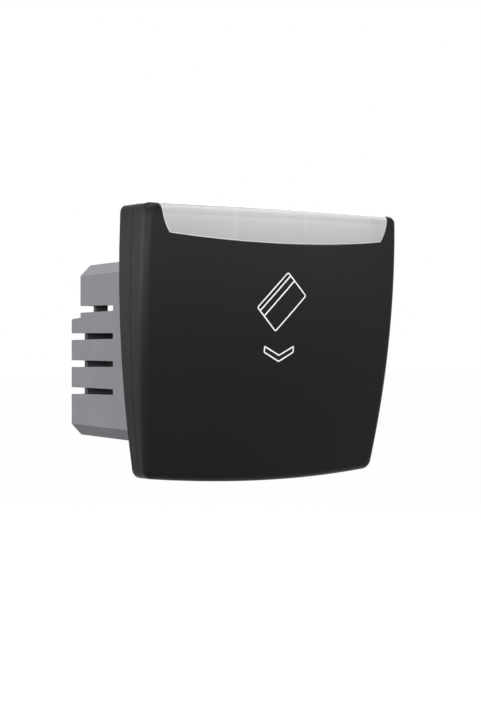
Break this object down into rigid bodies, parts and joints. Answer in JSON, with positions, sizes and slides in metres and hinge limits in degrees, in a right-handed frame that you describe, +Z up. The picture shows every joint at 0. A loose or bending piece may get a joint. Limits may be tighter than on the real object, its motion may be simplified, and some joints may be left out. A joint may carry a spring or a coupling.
{
  "type": "hotel key card switch",
  "caption": "Wall switch module with a crowned black head that takes a key card from above; a sprung lever in the card pocket works a switch in the grey vented housing behind it.",
  "frame": {"origin": "middle of the 45 mm frame opening, on the plane where the head bears on the support frame", "axes": "X to the right, Y into the wall, Z up; the head's front faces -Y"},
  "size_m": [0.0674, 0.0546, 0.0592],
  "materials": {
    "black_cover": "fine spark-eroded matt moulding",
    "frosted_window": "frosted translucent moulding",
    "black_frame": "fine matt moulding",
    "zinc_steel": "zinc plated",
    "clear_acrylic": "clear moulded acrylic",
    "grey_housing": "smooth matt moulding",
    "white_acetal": "smooth moulding",
    "bright_steel": "drawn wire",
    "spring_steel": "drawn spring wire",
    "black_case": "moulded case",
    "red_plunger": "smooth moulding",
    "tinned_copper": "tinned",
    "board_laminate": "glass laminate with solder mask",
    "lamp_epoxy": "cast epoxy",
    "film_case": "moulded case",
    "can_sleeve": "shrunk sleeve",
    "disc_lacquer": "dipped lacquer",
    "nickel_brass": "nickel flashed brass"
  },
  "bodies": {
    "base": {"front_cover": "black_cover", "light_window": "frosted_window", "rear_frame": "black_frame", "frame_screws": "zinc_steel", "light_guide": "clear_acrylic", "module_carrier": "grey_housing", "rear_housing": "grey_housing", "lever_pin": "bright_steel", "lever_spring": "spring_steel", "switch_case": "black_case", "switch_pins": "tinned_copper", "circuit_board": "board_laminate", "indicator_lamp": "lamp_epoxy", "relay": "black_case", "film_capacitor": "film_case", "can_capacitor": "can_sleeve", "varistor": "disc_lacquer", "control_chip": "black_case", "terminal_cages": "nickel_brass", "terminal_screws": "zinc_steel", "terminal_bars": "tinned_copper"},
    "lever": {"card_lever": "white_acetal"},
    "plunger": {"switch_plunger": "red_plunger"}
  },
  "joints": [
    {"name": "lever_swing", "type": "hinge", "parent": "base", "child": "lever", "pos_m": [0, 0.0042, -0.002], "axis": [1, 0, 0], "range_deg": [0, 13], "stiffness_Nm_per_rad": 0.003, "springref_deg": -8.59, "deforming": ["lever_spring"]},
    {"name": "plunger_press", "type": "slide", "parent": "base", "child": "plunger", "axis": [0, 1, 0], "range_m": [0, 0.002]}
  ],
  "couplings": [
    {"joint": "plunger_press", "follows": "lever_swing", "m_per_rad": 0.0086}
  ]
}
